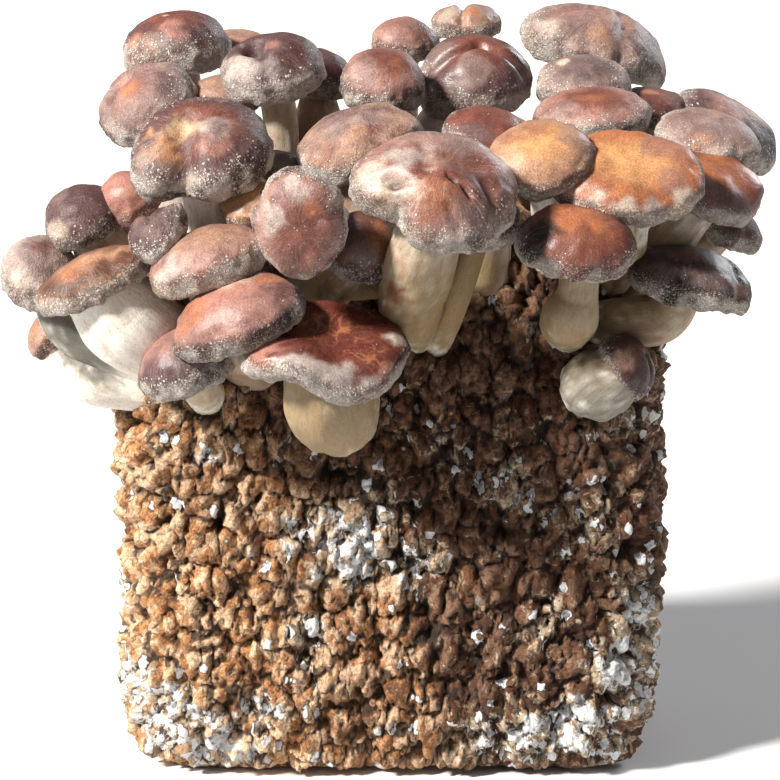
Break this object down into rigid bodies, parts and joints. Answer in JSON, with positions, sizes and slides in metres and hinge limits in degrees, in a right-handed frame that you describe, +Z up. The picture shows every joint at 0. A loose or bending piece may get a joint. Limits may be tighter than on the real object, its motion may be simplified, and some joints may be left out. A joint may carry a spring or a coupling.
{
  "type": "shiitake log",
  "caption": "Upright block of pressed sawdust with a dense crowd of shiitake mushrooms growing from its top and upper front.",
  "frame": {"origin": "centre of the block's flat resting base", "axes": "+Z up, +X along the block's width to the right seen from the front, -Y the front face with the mushrooms"},
  "size_m": [0.2716, 0.1974, 0.2668],
  "materials": {
    "sawdust": "rough, flaky, matte",
    "cap_skin": "dry, lightly scaly, semi-matte",
    "stem_flesh": "fibrous, matte"
  },
  "bodies": {
    "root": {"cap_03": "cap_skin", "cap_04": "cap_skin", "cap_07": "cap_skin", "cap_11": "cap_skin", "cap_12": "cap_skin", "cap_13": "cap_skin", "cap_17": "cap_skin", "cap_19": "cap_skin", "cap_20": "cap_skin", "cap_22": "cap_skin", "cap_23": "cap_skin", "cap_31": "cap_skin", "cap_36": "cap_skin", "cap_37": "cap_skin", "cap_39": "cap_skin", "cap_40": "cap_skin", "cap_41": "cap_skin", "mushroom_01": "cap_skin", "mushroom_02": "cap_skin", "mushroom_05": "cap_skin", "mushroom_06": "cap_skin", "mushroom_08": "cap_skin", "mushroom_09": "cap_skin", "mushroom_10": "cap_skin", "mushroom_14": "cap_skin", "mushroom_15": "cap_skin", "mushroom_16": "cap_skin", "mushroom_18": "cap_skin", "mushroom_21": "cap_skin", "mushroom_24": "cap_skin", "mushroom_25": "cap_skin", "mushroom_26": "cap_skin", "mushroom_27": "cap_skin", "mushroom_28": "cap_skin", "mushroom_29": "cap_skin", "mushroom_30": "cap_skin", "mushroom_32": "cap_skin", "mushroom_33": "cap_skin", "mushroom_34": "cap_skin", "mushroom_35": "cap_skin", "mushroom_38": "cap_skin", "mushroom_42": "cap_skin", "sawdust_block": "sawdust", "stem_03": "stem_flesh", "stem_04": "stem_flesh", "stem_07": "stem_flesh", "stem_11": "stem_flesh", "stem_12": "stem_flesh", "stem_13": "stem_flesh", "stem_17": "stem_flesh", "stem_19": "stem_flesh", "stem_20": "stem_flesh", "stem_22": "stem_flesh", "stem_23": "stem_flesh", "stem_31": "stem_flesh", "stem_36": "stem_flesh", "stem_37": "stem_flesh", "stem_39": "stem_flesh", "stem_40": "stem_flesh", "stem_41": "stem_flesh"}
  },
  "joints": []
}
